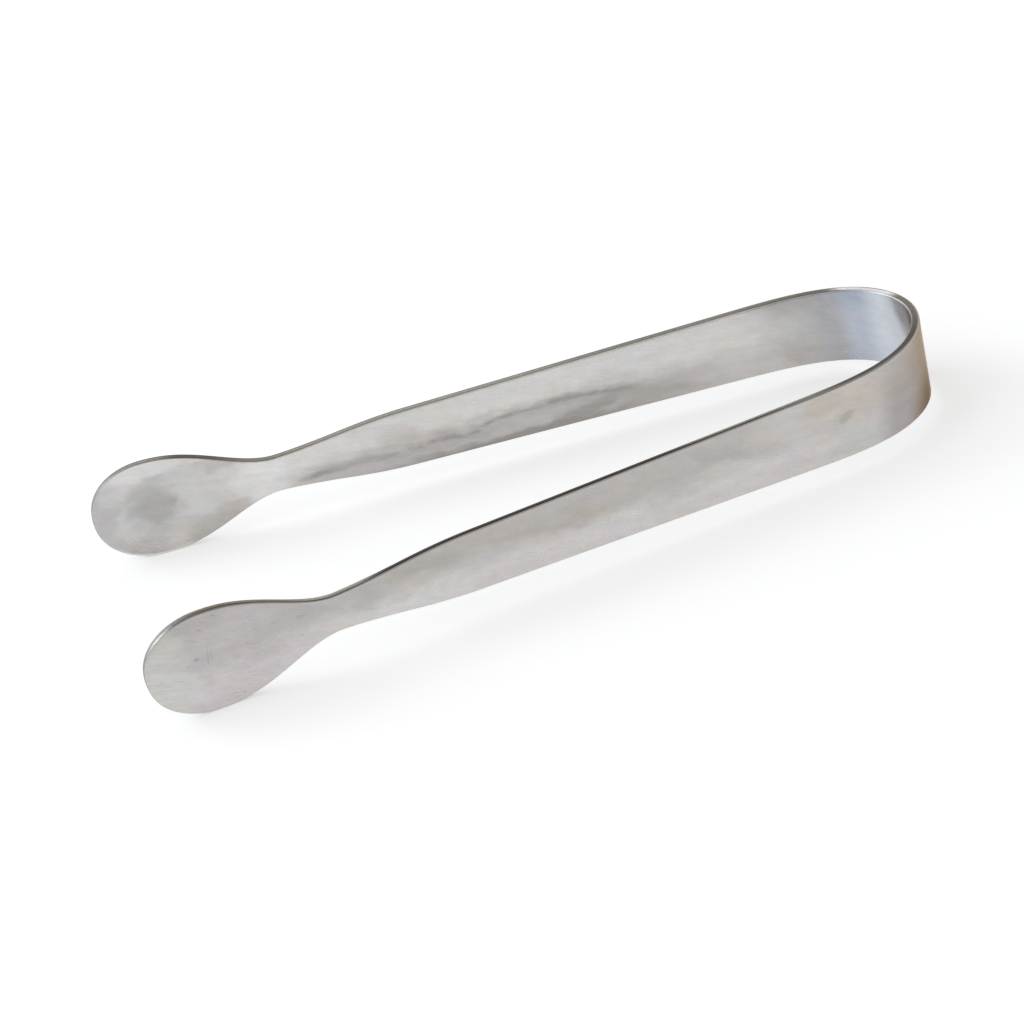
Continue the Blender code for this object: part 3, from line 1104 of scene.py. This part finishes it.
def steel_finish(name):
    material, finish = new_finish(name)
    strip = Strip(finish)
    pits = dark_pits(finish, strip)
    on_edge = on_the_edge(strip)

    face = finish.mix(strip.outside, inner_face(finish, strip), outer_face(finish, strip))
    face = grained(finish, strip, face)
    face = finish.mix(dark_dashes(strip), face, DARK)
    face = finish.mix(pits * PIT_DARKNESS, face, DARK)
    face = with_corners(finish, strip, face)
    colour = finish.mix(on_edge, face, edge_colour(finish, strip))

    waves = strip.noise(size=(11, 5), seed=20.9, detail=1)
    brushed = strip.streaks * STREAK_HEIGHT + strip.brushing * BRUSHING_HEIGHT
    height = waves * WAVE_HEIGHT + brushed - pits * PIT_DEPTH
    normal = finish.node("Bump", {}, {"Height": height, "Distance": MM})
    tips = strip.reach.between(*TO_BOWL_TIPS) * ROUGHER_TIPS
    rubbed = on_edge * (ROUGHER_EDGE + tips - strip.reach.between(*BOW_UP_TO) * SMOOTHER_BOW)
    uneven = strip.patches.swing(ROUGHER_PATCHES) + strip.brushing.swing(ROUGHER_BRUSHING)
    roughness = SATIN + uneven + rubbed + strip.inner_corner * ROUGHER_CORNER
    surface = {"Base Color": colour, "Metallic": 1.0, "Roughness": roughness, "Normal": normal}
    surface["Specular Tint"] = BROWN_AT_A_SLANT
    finish.end_in("OutputMaterial", finish.node("BsdfPrincipled", {}, surface))
    return material


steel = steel_finish("stainless_steel")
for piece in pieces.values():
    piece.data.materials.clear()
    piece.data.materials.append(steel)
print("steel nodes:", len(steel.node_tree.nodes))

# %% [markdown]
# ## Floor and light
# A plain white floor, a soft window far back on the left, a weaker skylight above it, and a room that is
# darker overhead. The upright faces of the tongs reflect the floor, which makes them pale. Their rounded
# corners reflect the darker ceiling, and in the bow they catch the two lights. Metal shows its surroundings
# more than its own colour, so the room is set up with as much care as the steel.
#
# The floor is lifted to white only where the camera or the metal sees it, so it keeps the tongs' soft shadow.

# %% Floor
FLOOR_SIZE = 4.0
FLOOR_LIFT = 0.42
PAPER_WHITE = (0.80, 0.80, 0.80, 1)
WHITE = (1, 1, 1, 1)


def make_floor():
    bpy.ops.object.select_all(action="DESELECT")
    bpy.ops.mesh.primitive_plane_add(size=FLOOR_SIZE, location=(0, 0, 0))
    floor = bpy.context.object
    floor.name = "floor"
    material, finish = new_finish("floor_white")
    seen_by_camera = finish.node("LightPath", output="Is Camera Ray")
    seen_in_metal = finish.node("LightPath", output="Is Glossy Ray")
    seen_through = finish.node("LightPath", output="Is Transmission Ray")
    lift = (seen_by_camera + seen_in_metal + seen_through) * FLOOR_LIFT
    paper = finish.node("BsdfDiffuse", {}, {"Color": PAPER_WHITE})
    glow = finish.node("Emission", {}, {"Color": WHITE, "Strength": lift})
    finish.end_in("OutputMaterial", finish.node("AddShader", {}, {0: paper, 1: glow}))
    floor.data.materials.append(material)
    return floor


floor = make_floor()
print("floor", FLOOR_SIZE, "m wide")

# %% Window and skylight
DAYLIGHT = (0.90, 0.95, 1.0)


def make_lamp(name, place, size, power):
    """A square of daylight that faces the tongs, with its size in metres and its power in watts."""
    lamp = bpy.data.lights.new(name, "AREA")
    lamp.shape = "SQUARE"
    lamp.size = size
    lamp.energy = power
    lamp.color = DAYLIGHT
    stand = bpy.data.objects.new(name, lamp)
    bpy.context.scene.collection.objects.link(stand)
    stand.location = place
    stand.rotation_euler = (-Vector(place)).to_track_quat("-Z", "Y").to_euler()
    print(name, "of", power, "W")


make_lamp("window", (-0.76, 0.46, 0.50), size=0.5, power=2.6)
make_lamp("skylight", (-0.70, -0.08, 0.72), size=0.45, power=0.9)

# %% The room
PALE_ROOM = 0.9
DARK_OVERHEAD = 0.32
OVERHEAD = (0.55, 0.85)
ROOM_ON_FLOOR = 0.6


def light_the_room():
    world = bpy.data.worlds.new("room")
    world.use_nodes = True
    bpy.context.scene.world = world
    finish = Finish(world.node_tree)
    way = finish.node("TexCoord", output="Generated")
    up = finish.node("SeparateXYZ", {}, {0: way}, output="Z")
    seen_by_camera = finish.node("LightPath", output="Is Camera Ray")
    seen_in_metal = finish.node("LightPath", output="Is Glossy Ray")
    in_metal = PALE_ROOM - up.between(*OVERHEAD) * (PALE_ROOM - DARK_OVERHEAD)
    lit = seen_in_metal * in_metal + (1 - seen_in_metal) * ROOM_ON_FLOOR
    strength = seen_by_camera + (1 - seen_by_camera) * lit
    light = finish.node("Background", {}, {"Color": WHITE, "Strength": strength})
    finish.end_in("OutputWorld", light)


light_the_room()
bpy.context.scene.view_settings.view_transform = "Standard"
print("the room is", PALE_ROOM, "bright around the tongs and", DARK_OVERHEAD, "overhead")

# %% [markdown]
# ## Riding on the frame
# The bowls follow the grips as they are. The bow and the arms stay where they were made, with their
# transforms baked into their meshes. The imported nodes that each length stands for are hidden.


for end, side in (("front", -1), ("rear", 1)):
    bow = pieces["bow_strip_" + end]
    arm = pieces["arm_strip_" + end]
    bowl = pieces["bowl_strip_" + end]
    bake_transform(bow)
    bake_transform(arm)
    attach(bowl, "grip_" + end)
    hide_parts("bow_crown", "bow_shoulder_" + end)
    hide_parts("bow_shoulder_" + end, "arm_" + end, "neck_" + end)
    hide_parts("bowl_" + end)
    print(end, "bow, arm and bowl ride on the frame")
